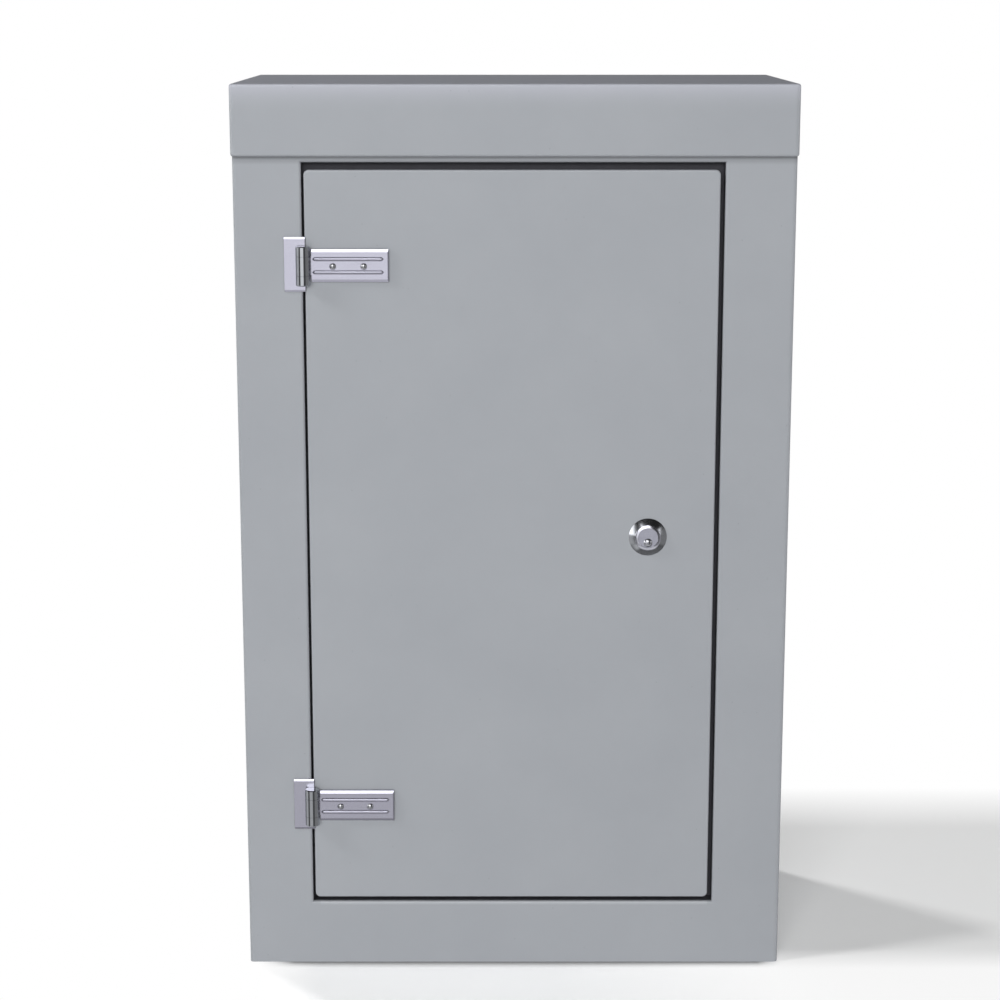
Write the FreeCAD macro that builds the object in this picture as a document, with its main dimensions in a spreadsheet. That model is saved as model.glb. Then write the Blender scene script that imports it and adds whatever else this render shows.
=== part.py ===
"""Outdoor cabinet of glass-fibre reinforced plastic (GRP) with one hinged door and a cap roof.

Millimetres. X is right as seen from the front, Y runs into the cabinet, Z is up.
The origin is on the ground at the centre of the base, in the middle of the four fixing holes.
"""
import FreeCAD
import Part
import Sketcher
import math
import os
import re

# Driving sizes
SIZES = {
    # Roof cap and body shell
    "overall_width": 650.0,
    "overall_depth": 346.0,
    "overall_height": 1062.6,
    "skirt_drop": 82.0,
    "roof_wall": 5.0,
    "roof_corner": 5.0,
    "roof_top_edge": 3.0,
    "roof_lip_edge": 3.0,
    "overhang_side": 1.6,
    "overhang_front": 3.0,
    "wall": 5.0,
    "body_corner": 4.5,
    "roof_fit": 0.3,
    "joggle_rise": 10.0,
    # Door frame in the front
    "left_stile": 78.6,
    "right_stile": 82.0,
    "sill_height": 78.6,
    "header_drop": 6.6,
    "frame_edge": 3.0,
    "return_wall": 5.0,
    "seal_width": 6.0,
    "stop_reach": 15.8,
    "stop_wall": 5.0,
    "seal_face": 2.0,
    "seal_reach": 12.0,
    "seal_gap": 1.0,
    # Door
    "gap_hinge": 2.7,
    "gap_lock": 5.4,
    "gap_top": 8.2,
    "gap_bottom": 5.5,
    "door_depth": 20.0,
    "door_draft": 1.5,
    "door_wall": 4.0,
    "door_corner": 6.0,
    "door_edge": 2.2,
    "liner_wall": 3.0,
    "liner_fit": 0.2,
    # Base flange
    "flange_width": 50.0,
    "flange_wall": 5.0,
    "fixing_bore": 14.0,
    "fixing_inset": 25.0,
    "fixing_spacing": 250.0,
    # Hinges
    "upper_hinge_inset": 109.4,
    "lower_hinge_inset": 118.9,
    "pin_ahead": 9.0,
    "pin_beside": 1.2,
    "pin_diameter": 6.0,
    "pin_fit": 0.05,
    "pin_cover": 3.0,
    "knuckle_diameter": 17.0,
    "knuckle_length": 22.0,
    "knuckle_gap": 0.3,
    "knuckle_chamfer": 1.0,
    "barrel_length": 45.5,
    "leaf_height": 63.0,
    "leaf_width": 24.0,
    "leaf_reach": 1.8,
    "leaf_rise": 1.2,
    "leaf_wall": 2.5,
    "leaf_bevel": 2.2,
    "leaf_bevel_depth": 0.9,
    "strap_height": 37.6,
    "strap_length": 89.0,
    "strap_start": 9.3,
    "strap_wall": 5.0,
    "strap_bevel": 3.0,
    "strap_bevel_depth": 1.2,
    "strap_end_bevel": 1.3,
    "rib_spacing": 15.2,
    "rib_length": 83.0,
    "rib_start": 10.0,
    "rib_taper": 2.9,
    "rib_width": 4.6,
    "rib_height": 1.8,
    # Lock
    "lock_inset": 78.4,
    "lock_drop": 430.6,
    "ring_diameter": 44.8,
    "ring_shoulder": 2.6,
    "shoulder_diameter": 39.2,
    "ring_height": 5.4,
    "lip_diameter": 31.8,
    "lip_height": 6.4,
    "plug_diameter": 26.0,
    "plug_fit": 0.15,
    "plug_recess": 0.3,
    "plug_head": 2.4,
    "boss_diameter": 9.8,
    "boss_face": 6.4,
    "boss_height": 1.6,
    "boss_drop": 5.8,
    "boss_bore": 2.0,
    "barrel_diameter": 24.0,
    "barrel_fit": 0.2,
    "barrel_rear": 11.0,
    "spindle_diameter": 16.0,
    "nut_across": 32.0,
    "nut_wall": 5.0,
    "cam_gap": 5.0,
    "cam_wall": 4.0,
    "cam_width": 24.0,
    "cam_length": 84.0,
    "square_across": 8.0,
    "square_fit": 0.05,
    "screw_across": 13.0,
    "screw_height": 4.0,
}

doc = FreeCAD.newDocument("cabinet")
sheet = doc.addObject("Spreadsheet::Sheet", "dims")
for row, (alias, number) in enumerate(SIZES.items(), start=1):
    sheet.set(f"A{row}", alias)
    sheet.set(f"B{row}", str(number))
    sheet.setAlias(f"B{row}", alias)
doc.recompute()

# Places worked out from the driving sizes, as formulas for the document's expressions
BODY_HALF = "(overall_width / 2 - overhang_side)"
BODY_FRONT = "(-overall_depth / 2 + overhang_front)"
BODY_BACK = "(overall_depth / 2 - overhang_front)"
INNER_HALF = f"({BODY_HALF} - wall)"
INNER_FRONT = f"({BODY_FRONT} + wall)"
INNER_BACK = f"({BODY_BACK} - wall)"
SKIRT_BOTTOM = "(overall_height - skirt_drop)"
BODY_TOP = "(overall_height - roof_wall)"
NECK_HALF = "(overall_width / 2 - roof_wall - roof_fit)"
NECK_DEPTH = "(overall_depth / 2 - roof_wall - roof_fit)"
OPEN_LEFT = f"(-{BODY_HALF} + left_stile)"
OPEN_RIGHT = f"({BODY_HALF} - right_stile)"
OPEN_LOW = "sill_height"
OPEN_HIGH = f"({SKIRT_BOTTOM} - header_drop)"
RETURN_OUT = "(seal_width + return_wall)"
STOP_FRONT = "(door_depth + seal_gap + seal_face)"
STOP_BACK = f"({STOP_FRONT} + stop_wall)"
DOOR_LEFT = f"({OPEN_LEFT} + gap_hinge)"
DOOR_RIGHT = f"({OPEN_RIGHT} - gap_lock)"
DOOR_LOW = f"({OPEN_LOW} + gap_bottom)"
DOOR_HIGH = f"({OPEN_HIGH} - gap_top)"
DOOR_FACE = BODY_FRONT
DOOR_BACK = f"({BODY_FRONT} + door_depth)"
PIN_X = f"({DOOR_LEFT} - pin_beside)"
PIN_Y = f"({DOOR_FACE} - pin_ahead)"
UPPER_HINGE = f"({DOOR_HIGH} - upper_hinge_inset)"
LOWER_HINGE = f"({DOOR_LOW} + lower_hinge_inset)"
LOCK_X = f"({DOOR_RIGHT} - lock_inset)"
LOCK_Z = f"({DOOR_HIGH} - lock_drop)"
CAM_FRONT = f"({BODY_FRONT} + {STOP_BACK} + cam_gap)"
LIP_FRONT = f"({DOOR_FACE} - lip_height)"
PLUG_FRONT = f"({LIP_FRONT} + plug_recess)"
BARREL_FRONT = f"({PLUG_FRONT} + plug_head + plug_fit)"
BARREL_BACK = f"({DOOR_BACK} + barrel_rear)"


def size(name):
    """The number in the sheet under this name."""
    return float(sheet.get(name))


def bound(formula):
    """The formula with each size's name made a reference to the sheet."""
    return re.sub(r"\b[a-z]+_[a-z_]+\b|\bwall\b", lambda found: "dims." + found.group(), formula)


def tie(item, prop, formula):
    """Binds a property to a formula of driving sizes."""
    item.setExpression(prop, bound(formula))


def place(item, corner):
    """Binds where an item stands, as three formulas."""
    for axis, formula in zip("xyz", corner):
        tie(item, f"Placement.Base.{axis}", formula)


def box(name, low, high):
    """A block between two corners, each three formulas."""
    item = doc.addObject("Part::Box", name)
    for prop, start, end in zip(("Length", "Width", "Height"), low, high):
        tie(item, prop, f"({end}) - ({start})")
    place(item, low)
    return item


def stand_along(item, start, axis):
    """Turns an item's own height along an axis, from a start point."""
    turns = {"x": ((0, 1, 0), 90), "y": ((1, 0, 0), -90), "z": ((0, 0, 1), 0)}
    direction, angle = turns[axis]
    item.Placement = FreeCAD.Placement(
        FreeCAD.Vector(0, 0, 0), FreeCAD.Rotation(FreeCAD.Vector(*direction), angle)
    )
    place(item, start)


def span(start, end, axis):
    """How far the end lies beyond the start along an axis, as a formula."""
    index = "xyz".index(axis)
    return f"({end[index]}) - ({start[index]})"


def rod(name, radius, start, end, axis="z"):
    """A cylinder from start to end, two points along one axis."""
    item = doc.addObject("Part::Cylinder", name)
    tie(item, "Radius", radius)
    tie(item, "Height", span(start, end, axis))
    stand_along(item, start, axis)
    return item


def tapered_rod(name, first_radius, last_radius, start, end, axis):
    """A cone with its tip cut off, from start to end along one axis."""
    item = doc.addObject("Part::Cone", name)
    tie(item, "Radius1", first_radius)
    tie(item, "Radius2", last_radius)
    tie(item, "Height", span(start, end, axis))
    stand_along(item, start, axis)
    return item


def union(name, items):
    """All items as one solid."""
    item = doc.addObject("Part::MultiFuse", name)
    item.Shapes = items
    item.Refine = True
    return item


def without(name, base, tools):
    """The base with the tools cut away."""
    tool = tools[0] if len(tools) == 1 else union(name + "_cuts", tools)
    item = doc.addObject("Part::Cut", name)
    item.Base = base
    item.Tool = tool
    return item


def shared(name, base, tool):
    """What two items share."""
    item = doc.addObject("Part::Common", name)
    item.Base = base
    item.Tool = tool
    return item


def new_body(name):
    return doc.addObject("PartDesign::Body", name)


def sketch_on(body, role, name, offset="0"):
    """A sketch on one of the body's own planes, moved along the plane's normal."""
    sketch = body.newObject("Sketcher::SketchObject", name)
    planes = [item for item in body.Origin.OriginFeatures if item.Role == role]
    sketch.AttachmentSupport = [(planes[0], "")]
    sketch.MapMode = "FlatFace"
    tie(sketch, "AttachmentOffset.Base.z", offset)
    return sketch


def outline(sketch, points):
    """A closed outline through points given as pairs of formulas, anticlockwise.

    The lines are drawn round a circle first, and the corners' two distances
    from the sketch's origin then set each one.
    """
    count = len(points)
    first = sketch.GeometryCount
    turn = 2 * math.pi / count
    rough = []
    for number in range(count):
        rough.append(FreeCAD.Vector(100 * math.cos(turn * number), 100 * math.sin(turn * number), 0))
    for number in range(count):
        side = Part.LineSegment(rough[number], rough[(number + 1) % count])
        sketch.addGeometry(side, False)
    for number in range(count):
        following = first + (number + 1) % count
        sketch.addConstraint(Sketcher.Constraint("Coincident", first + number, 2, following, 1))
    for number, pair in enumerate(points):
        for kind, formula, value in zip(("DistanceX", "DistanceY"), pair, rough[number]):
            index = sketch.addConstraint(Sketcher.Constraint(kind, -1, 1, first + number, 1, value))
            tie(sketch, f"Constraints[{index}]", formula)


def corners(left, right, low, high):
    """The four corners of a rectangle, as pairs of formulas."""
    return [(left, low), (right, low), (right, high), (left, high)]


def pad(body, sketch, name, length, reverse=False, both_ways=False):
    feature = body.newObject("PartDesign::Pad", name)
    feature.Profile = sketch
    tie(feature, "Length", length)
    feature.Reversed = reverse
    feature.Midplane = both_ways
    doc.recompute()
    return feature


def pocket(body, sketch, name, depth, reverse=False):
    """A pocket that must take material away."""
    before = body.Shape.Volume
    feature = body.newObject("PartDesign::Pocket", name)
    feature.Profile = sketch
    tie(feature, "Length", depth)
    feature.Reversed = reverse
    doc.recompute()
    if body.Shape.Volume >= before:
        raise RuntimeError(f"{name} cuts nothing")
    return feature


def rounding(body, name, radius, chosen):
    """A fillet on the edges of the body's tip that the test picks."""
    tip = body.Tip
    edges = []
    for number, edge in enumerate(tip.Shape.Edges, start=1):
        if chosen(edge.BoundBox):
            edges.append(f"Edge{number}")
    if not edges:
        raise RuntimeError(f"{name} finds no edge")
    feature = body.newObject("PartDesign::Fillet", name)
    feature.Base = (tip, edges)
    tie(feature, "Radius", radius)
    doc.recompute()
    return feature


def near(first, second, reach=0.01):
    return abs(first - second) < reach


pieces = {}


def keep(name, item):
    """Names a finished sub-part."""
    item.Label = name
    pieces[name] = item
    return item


def make_roof_cap():
    """Moulded roof with a skirt turned down over the top of the body."""
    body = new_body("roof_cap")
    half_width = "overall_width / 2"
    half_depth = "overall_depth / 2"
    plan = sketch_on(body, "XY_Plane", "roof_plan", SKIRT_BOTTOM)
    outline(plan, corners("-" + half_width, half_width, "-" + half_depth, half_depth))
    pad(body, plan, "roof_block", "skirt_drop")
    rounding(body, "roof_corners", "roof_corner", lambda b: b.ZLength > size("skirt_drop") / 2)
    top = size("overall_height")
    low = top - size("skirt_drop")
    rounding(body, "roof_top_round", "roof_top_edge", lambda b: near(b.ZMin, top) and near(b.ZMax, top))
    rounding(body, "roof_lip_round", "roof_lip_edge", lambda b: near(b.ZMin, low) and near(b.ZMax, low))
    hollow = sketch_on(body, "XY_Plane", "roof_hollow_plan", SKIRT_BOTTOM)
    inner_width = "(overall_width / 2 - roof_wall)"
    inner_depth = "(overall_depth / 2 - roof_wall)"
    outline(hollow, corners("-" + inner_width, inner_width, "-" + inner_depth, inner_depth))
    pocket(body, hollow, "roof_hollow", "skirt_drop - roof_wall", reverse=True)
    return keep("roof_cap", body)


def make_side_panel(name, sign):
    """Side wall with rounded outer corners and a neck set in under the roof skirt."""
    body = new_body(name)
    outer = f"{sign} * {BODY_HALF}"
    inner = f"{sign} * {INNER_HALF}"
    plan = sketch_on(body, "XY_Plane", name + "_plan")
    outline(plan, corners(outer, inner, BODY_FRONT, BODY_BACK))
    pad(body, plan, name + "_wall", SKIRT_BOTTOM)
    face = sign * (size("overall_width") / 2 - size("overhang_side"))
    rounding(
        body,
        name + "_corners",
        "body_corner",
        lambda b: near(b.XMin, face) and near(b.XMax, face) and b.ZLength > size("sill_height"),
    )
    neck_out = f"{sign} * {NECK_HALF}"
    neck_in = f"{sign} * ({NECK_HALF} - wall)"
    neck = sketch_on(body, "XZ_Plane", name + "_neck_section")
    outline(
        neck,
        [
            (inner, f"{SKIRT_BOTTOM} - joggle_rise"),
            (neck_in, f"{SKIRT_BOTTOM} - joggle_rise / 2"),
            (neck_in, BODY_TOP),
            (neck_out, BODY_TOP),
            (neck_out, SKIRT_BOTTOM),
            (inner, SKIRT_BOTTOM),
        ],
    )
    pad(body, neck, name + "_neck", f"2 * ({NECK_DEPTH} - wall)", both_ways=True)
    return keep(name, body)


def make_back_panel():
    """Rear wall between the side walls, with its neck under the roof skirt."""
    wall = box(
        "back_wall",
        (f"-{INNER_HALF}", INNER_BACK, "0"),
        (INNER_HALF, BODY_BACK, SKIRT_BOTTOM),
    )
    neck = box(
        "back_neck",
        (f"-{NECK_HALF}", f"{NECK_DEPTH} - wall", SKIRT_BOTTOM),
        (NECK_HALF, NECK_DEPTH, BODY_TOP),
    )
    return keep("back_panel", union("back_panel", [wall, neck]))


def ring(body, name, outer, inner, front, depth):
    """A rectangular ring round the doorway, from a front level into the cabinet.

    outer and inner give how far each side lies outside the opening's edge.
    """
    section = sketch_on(body, "XZ_Plane", name + "_outline", f"-({BODY_FRONT} + ({front}))")
    for reach in (outer, inner):
        outline(
            section,
            corners(
                f"{OPEN_LEFT} - ({reach})",
                f"{OPEN_RIGHT} + ({reach})",
                f"{OPEN_LOW} - ({reach})",
                f"{OPEN_HIGH} + ({reach})",
            ),
        )
    return pad(body, section, name, depth, reverse=True)


def make_frame_ring():
    """Front of the body round the doorway, with the return and the stop the door closes on."""
    body = new_body("frame_ring")
    face = sketch_on(body, "XZ_Plane", "front_face", f"-{BODY_FRONT}")
    outline(face, corners(f"-{INNER_HALF}", INNER_HALF, "0", SKIRT_BOTTOM))
    outline(face, corners(OPEN_LEFT, OPEN_RIGHT, OPEN_LOW, OPEN_HIGH))
    pad(body, face, "front_plate", "wall", reverse=True)
    left = -size("overall_width") / 2 + size("overhang_side") + size("left_stile")
    right = size("overall_width") / 2 - size("overhang_side") - size("right_stile")
    front = -size("overall_depth") / 2 + size("overhang_front")
    low = size("sill_height")
    high = size("overall_height") - size("skirt_drop") - size("header_drop")

    def at_front_edge(b):
        across = b.XMin > left - 1 and b.XMax < right + 1
        upright = b.ZMin > low - 1 and b.ZMax < high + 1
        return across and upright and near(b.YMin, front) and near(b.YMax, front)

    rounding(body, "opening_edge", "frame_edge", at_front_edge)
    ring(body, "frame_return", RETURN_OUT, "seal_width", "wall", f"{STOP_BACK} - wall")
    ring(body, "door_stop", RETURN_OUT, "-stop_reach", STOP_FRONT, "stop_wall")
    neck = sketch_on(body, "XZ_Plane", "front_neck_face", NECK_DEPTH)
    outline(neck, corners(f"-{NECK_HALF}", NECK_HALF, SKIRT_BOTTOM, BODY_TOP))
    pad(body, neck, "front_neck", "wall", reverse=True)
    return body


def make_seal_ring():
    """Black rubber lining behind the opening's edge, with a lip on the stop."""
    body = new_body("seal_ring")
    ring(body, "seal_lining", "seal_width", "0", "wall", f"{STOP_FRONT} - wall")
    ring(body, "seal_lip", "seal_width", "-seal_reach", f"{STOP_FRONT} - seal_face", "seal_face")
    return body


def make_mitre_cutter(name, sign, edge, stile):
    """Prism over one stile, with 45 degree ends through the opening's corners."""
    body = new_body(name)
    section = sketch_on(body, "XZ_Plane", name + "_outline")
    inward = "(stop_reach + 1)"
    upward = f"({RETURN_OUT} + 1)"
    downward = f"({stile} - wall)"
    beyond = f"{sign} * overall_width"
    outline(
        section,
        [
            (f"{edge} - {sign} * {inward}", f"{OPEN_LOW} + {inward}"),
            (f"{edge} - {sign} * {inward}", f"{OPEN_HIGH} - {inward}"),
            (f"{edge} + {sign} * {upward}", f"{OPEN_HIGH} + {upward}"),
            (beyond, f"{OPEN_HIGH} + {upward}"),
            (beyond, f"{OPEN_LOW} - {downward}"),
            (f"{edge} + {sign} * {downward}", f"{OPEN_LOW} - {downward}"),
        ],
    )
    pad(body, section, name + "_prism", "2 * overall_depth", both_ways=True)
    return body


def make_front():
    """The front as two stiles, a header and a sill, and the seal behind each."""
    cutters = {
        "left": make_mitre_cutter("left_cutter", -1, OPEN_LEFT, "left_stile"),
        "right": make_mitre_cutter("right_cutter", 1, OPEN_RIGHT, "right_stile"),
    }
    middle = f"({OPEN_LOW} + {OPEN_HIGH}) / 2"
    halves = {
        "top": ("upper_half", middle, "2 * overall_height"),
        "bottom": ("lower_half", "-overall_height", middle),
    }
    blocks = {}
    for place_name, (name, low, high) in halves.items():
        blocks[place_name] = box(
            name,
            ("-overall_width", "-overall_depth", low),
            ("overall_width", "overall_depth", high),
        )
    frame_names = {
        "left": "left_stile",
        "right": "right_stile",
        "top": "front_header",
        "bottom": "front_sill",
    }
    seal_names = {side: f"seal_{side}" for side in frame_names}
    for whole, names in ((make_frame_ring(), frame_names), (make_seal_ring(), seal_names)):
        rest = without(whole.Name + "_rest", whole, list(cutters.values()))
        for side, cutter in cutters.items():
            keep(names[side], shared(names[side], whole, cutter))
        for side, block in blocks.items():
            keep(names[side], shared(names[side], rest, block))


def make_base_flanges():
    """Inward flanges at the foot of the walls, with the four fixing holes."""
    for name, sign in (("left_base_flange", -1), ("right_base_flange", 1)):
        edges = [f"{sign} * {INNER_HALF}", f"{sign} * ({INNER_HALF} - flange_width)"]
        low_edge, high_edge = edges if sign < 0 else edges[::-1]
        strip = box(name + "_strip", (low_edge, INNER_FRONT, "0"), (high_edge, INNER_BACK, "flange_wall"))
        holes = []
        for number, side in enumerate((-1, 1), start=1):
            across = f"{sign} * ({INNER_HALF} - fixing_inset)"
            along = f"{side} * fixing_spacing / 2"
            holes.append(
                rod(
                    f"{name}_hole_{number}",
                    "fixing_bore / 2",
                    (across, along, "-flange_wall"),
                    (across, along, "2 * flange_wall"),
                )
            )
        keep(name, without(name, strip, holes))
    spans = {
        "front_base_flange": (INNER_FRONT, f"{INNER_FRONT} + flange_width"),
        "back_base_flange": (f"{INNER_BACK} - flange_width", INNER_BACK),
    }
    reach = f"({INNER_HALF} - flange_width)"
    for name, (start, end) in spans.items():
        keep(name, box(name, (f"-{reach}", start, "0"), (reach, end, "flange_wall")))


def lock_rod(name, radius, front, back):
    """A cylinder on the lock's axis, between two levels into the cabinet."""
    return rod(name, radius, (LOCK_X, front, LOCK_Z), (LOCK_X, back, LOCK_Z), "y")


def make_door():
    """Moulded door pan with drafted returns, and the liner that closes its back."""
    body = new_body("door_pan")
    face = sketch_on(body, "XZ_Plane", "door_face", f"-{DOOR_FACE}")
    outline(face, corners(DOOR_LEFT, DOOR_RIGHT, DOOR_LOW, DOOR_HIGH))
    block = pad(body, face, "door_block", "door_depth", reverse=True)
    tie(block, "TaperAngle", "-atan(door_draft / door_depth)")
    doc.recompute()
    front = -size("overall_depth") / 2 + size("overhang_front")
    rounding(body, "door_corners", "door_corner", lambda b: b.YLength > size("door_depth") / 2)
    rounding(body, "door_edges", "door_edge", lambda b: near(b.YMin, front) and near(b.YMax, front))
    rim = "(door_draft + door_wall)"
    hollow = sketch_on(body, "XZ_Plane", "door_hollow_outline", f"-{DOOR_BACK}")
    left = f"{DOOR_LEFT} + {rim}"
    right = f"{DOOR_RIGHT} - {rim}"
    low = f"{DOOR_LOW} + {rim}"
    high = f"{DOOR_HIGH} - {rim}"
    outline(hollow, corners(left, right, low, high))
    pocket(body, hollow, "door_hollow", "door_depth - door_wall", reverse=True)
    hole = "barrel_diameter / 2 + barrel_fit"
    skin_hole = lock_rod("skin_lock_hole", hole, f"{DOOR_FACE} - door_wall", f"{DOOR_FACE} + 2 * door_wall")
    keep("door_skin", without("door_skin", body, [skin_hole]))

    liner = box(
        "liner_plate",
        (f"{left} + liner_fit", f"{DOOR_BACK} - liner_wall", f"{low} + liner_fit"),
        (f"{right} - liner_fit", DOOR_BACK, f"{high} - liner_fit"),
    )
    hole_front = f"{DOOR_BACK} - 2 * liner_wall"
    liner_hole = lock_rod("liner_lock_hole", hole, hole_front, f"{DOOR_BACK} + liner_wall")
    keep("door_liner", without("door_liner", liner, [liner_hole]))


def make_knuckle(name, low, high, level, end=None):
    """A length of the hinge's barrel, chamfered at its outer end."""
    item = rod(
        name,
        "knuckle_diameter / 2",
        (PIN_X, PIN_Y, f"{level} + ({low})"),
        (PIN_X, PIN_Y, f"{level} + ({high})"),
    )
    if end is None:
        return item
    doc.recompute()
    height = item.Shape.BoundBox.ZMax if end == "top" else item.Shape.BoundBox.ZMin
    cut = size("knuckle_chamfer")
    chosen = []
    for number, edge in enumerate(item.Shape.Edges, start=1):
        if near(edge.BoundBox.ZMin, height) and near(edge.BoundBox.ZMax, height):
            chosen.append((number, cut, cut))
    chamfer = doc.addObject("Part::Chamfer", name + "_end")
    chamfer.Base = item
    chamfer.Edges = chosen
    return chamfer


def bevelled_bar(name, start, length, level, height, depth, bevel, bevel_depth):
    """A flat bar along X on the door's plane, bevelled along its top and bottom edges."""
    body = new_body(name)
    section = sketch_on(body, "YZ_Plane", name + "_section", start)
    half = f"({height} / 2)"
    flat = f"({half} - {bevel})"
    edge = f"({DOOR_FACE} - {depth} + {bevel_depth})"
    face = f"({DOOR_FACE} - {depth})"
    outline(
        section,
        [
            (DOOR_FACE, f"{level} - {half}"),
            (DOOR_FACE, f"{level} + {half}"),
            (edge, f"{level} + {half}"),
            (face, f"{level} + {flat}"),
            (face, f"{level} - {flat}"),
            (edge, f"{level} - {half}"),
        ],
    )
    pad(body, section, name + "_length", length)
    return body


def bevel_end(body, name, width, face):
    """A bevel on the bar's far end, where that meets its front face."""
    tip = body.Tip
    end = tip.Shape.BoundBox.XMax
    edges = []
    for number, edge in enumerate(tip.Shape.Edges, start=1):
        b = edge.BoundBox
        if near(b.XMin, end) and near(b.YMin, face) and near(b.YMax, face):
            edges.append(f"Edge{number}")
    if not edges:
        raise RuntimeError(f"{name} finds no edge")
    feature = body.newObject("PartDesign::Chamfer", name)
    feature.Base = (tip, edges)
    tie(feature, "Size", width)
    doc.recompute()


def make_hinge(prefix, level):
    """Surface hinge: leaf on the stile, strap on the door and a hidden pin."""
    bore = "pin_diameter / 2 + pin_fit"
    pin_end = "(barrel_length / 2 - pin_cover)"
    make_leaf(prefix, level, bore, pin_end)
    make_strap(prefix, level, bore)
    name = prefix + "_hinge_pin"
    foot = (PIN_X, PIN_Y, f"{level} - {pin_end}")
    head = (PIN_X, PIN_Y, f"{level} + {pin_end}")
    keep(name, rod(name, "pin_diameter / 2", foot, head))


def make_leaf(prefix, level, bore, pin_end):
    """Plate on the stile with the two outer knuckles, whose blind bores hold the pin."""
    gap_end = "(knuckle_length / 2 + knuckle_gap)"
    barrel_end = "(barrel_length / 2)"
    plate = bevelled_bar(
        prefix + "_leaf_plate",
        f"{PIN_X} + leaf_reach - leaf_width",
        "leaf_width",
        f"({level} + leaf_rise)",
        "leaf_height",
        "leaf_wall",
        "leaf_bevel",
        "leaf_bevel_depth",
    )
    high = make_knuckle(prefix + "_leaf_high", gap_end, barrel_end, level, "top")
    low = make_knuckle(prefix + "_leaf_low", f"-{barrel_end}", f"-{gap_end}", level, "bottom")
    notch = box(
        prefix + "_leaf_notch",
        (
            f"{PIN_X} - knuckle_diameter / 2 - 2 * knuckle_gap",
            f"{DOOR_FACE} - knuckle_diameter",
            f"{level} - {gap_end}",
        ),
        (f"{PIN_X} + knuckle_diameter", f"{DOOR_FACE} + leaf_wall", f"{level} + {gap_end}"),
    )
    bore_foot = (PIN_X, PIN_Y, f"{level} - {pin_end} - pin_fit")
    bore_head = (PIN_X, PIN_Y, f"{level} + {pin_end} + pin_fit")
    leaf_bore = rod(prefix + "_leaf_bore", bore, bore_foot, bore_head)
    leaf = union(prefix + "_leaf_blank", [plate, high, low])
    keep(prefix + "_hinge_leaf", without(prefix + "_hinge_leaf", leaf, [notch, leaf_bore]))


def make_strap(prefix, level, bore):
    """Strap on the door with two pressed ribs, and the middle knuckle."""
    middle = "(knuckle_length / 2)"
    face = f"({DOOR_FACE} - strap_wall)"
    bar = bevelled_bar(
        prefix + "_strap_bar",
        f"{PIN_X} + strap_start",
        "strap_length",
        level,
        "strap_height",
        "strap_wall",
        "strap_bevel",
        "strap_bevel_depth",
    )
    front = size("overall_depth") / 2 - size("overhang_front") + size("strap_wall")
    bevel_end(bar, prefix + "_strap_end", "strap_end_bevel", -front)
    tongue = box(
        prefix + "_strap_tongue",
        (PIN_X, face, f"{level} - {middle}"),
        (f"{PIN_X} + strap_start", DOOR_FACE, f"{level} + {middle}"),
    )
    eye = make_knuckle(prefix + "_strap_eye", f"-{middle}", middle, level)
    parts = [bar, tongue, eye]
    arc = "((rib_width / 2) * (rib_width / 2) + rib_height * rib_height) / (2 * rib_height)"
    tip = f"({arc} - rib_height) / 2"
    sunk = f"({face} - rib_height + {arc})"
    rib_low = f"{PIN_X} + rib_start"
    rib_high = f"{rib_low} + rib_length"
    for number, side in enumerate((-1, 1), start=1):
        height = f"{level} + {side} * rib_spacing / 2"
        ends = []
        for across in (rib_low, f"{rib_low} + rib_taper", f"{rib_high} - rib_taper", rib_high):
            ends.append((across, sunk, height))
        name = f"{prefix}_rib_{number}"
        parts.append(tapered_rod(name + "_start", tip, arc, ends[0], ends[1], "x"))
        parts.append(rod(name, arc, ends[1], ends[2], "x"))
        parts.append(tapered_rod(name + "_end", arc, tip, ends[2], ends[3], "x"))
    strap = union(prefix + "_strap_blank", parts)
    bore_foot = (PIN_X, PIN_Y, f"{level} - knuckle_length")
    bore_head = (PIN_X, PIN_Y, f"{level} + knuckle_length")
    strap_bore = rod(prefix + "_strap_bore", bore, bore_foot, bore_head)
    behind = box(
        prefix + "_strap_behind",
        (f"{PIN_X} + strap_start", DOOR_FACE, f"{level} - strap_height / 2"),
        (rib_high, f"{DOOR_FACE} + strap_wall", f"{level} + strap_height / 2"),
    )
    keep(prefix + "_hinge_strap", without(prefix + "_hinge_strap", strap, [strap_bore, behind]))


def make_lock_ring():
    """Domed ring on the door round the plug, turned from one section."""
    ring_body = new_body("ring_turning")
    section = sketch_on(ring_body, "XY_Plane", "ring_section", LOCK_Z)
    tie(section, "AttachmentOffset.Base.x", LOCK_X)
    plug_hole = "(plug_diameter / 2 + plug_fit)"
    outline(
        section,
        [
            (plug_hole, DOOR_FACE),
            (plug_hole, LIP_FRONT),
            ("lip_diameter / 2", f"{DOOR_FACE} - ring_height"),
            ("shoulder_diameter / 2", f"{DOOR_FACE} - ring_shoulder"),
            ("ring_diameter / 2", DOOR_FACE),
        ],
    )
    turning = ring_body.newObject("PartDesign::Revolution", "ring_revolution")
    turning.Profile = section
    turning.ReferenceAxis = (section, ["V_Axis"])
    turning.Angle = 360
    doc.recompute()
    keep("lock_escutcheon", ring_body)


def hexagon(name, across, front, thickness):
    """A six-sided head or nut on the lock's axis, by its width across flats."""
    item = doc.addObject("Part::Prism", name)
    item.Polygon = 6
    tie(item, "Circumradius", f"{across} / 2 / cos(30)")
    tie(item, "Height", thickness)
    stand_along(item, (LOCK_X, front, LOCK_Z), "y")
    return item


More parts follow.
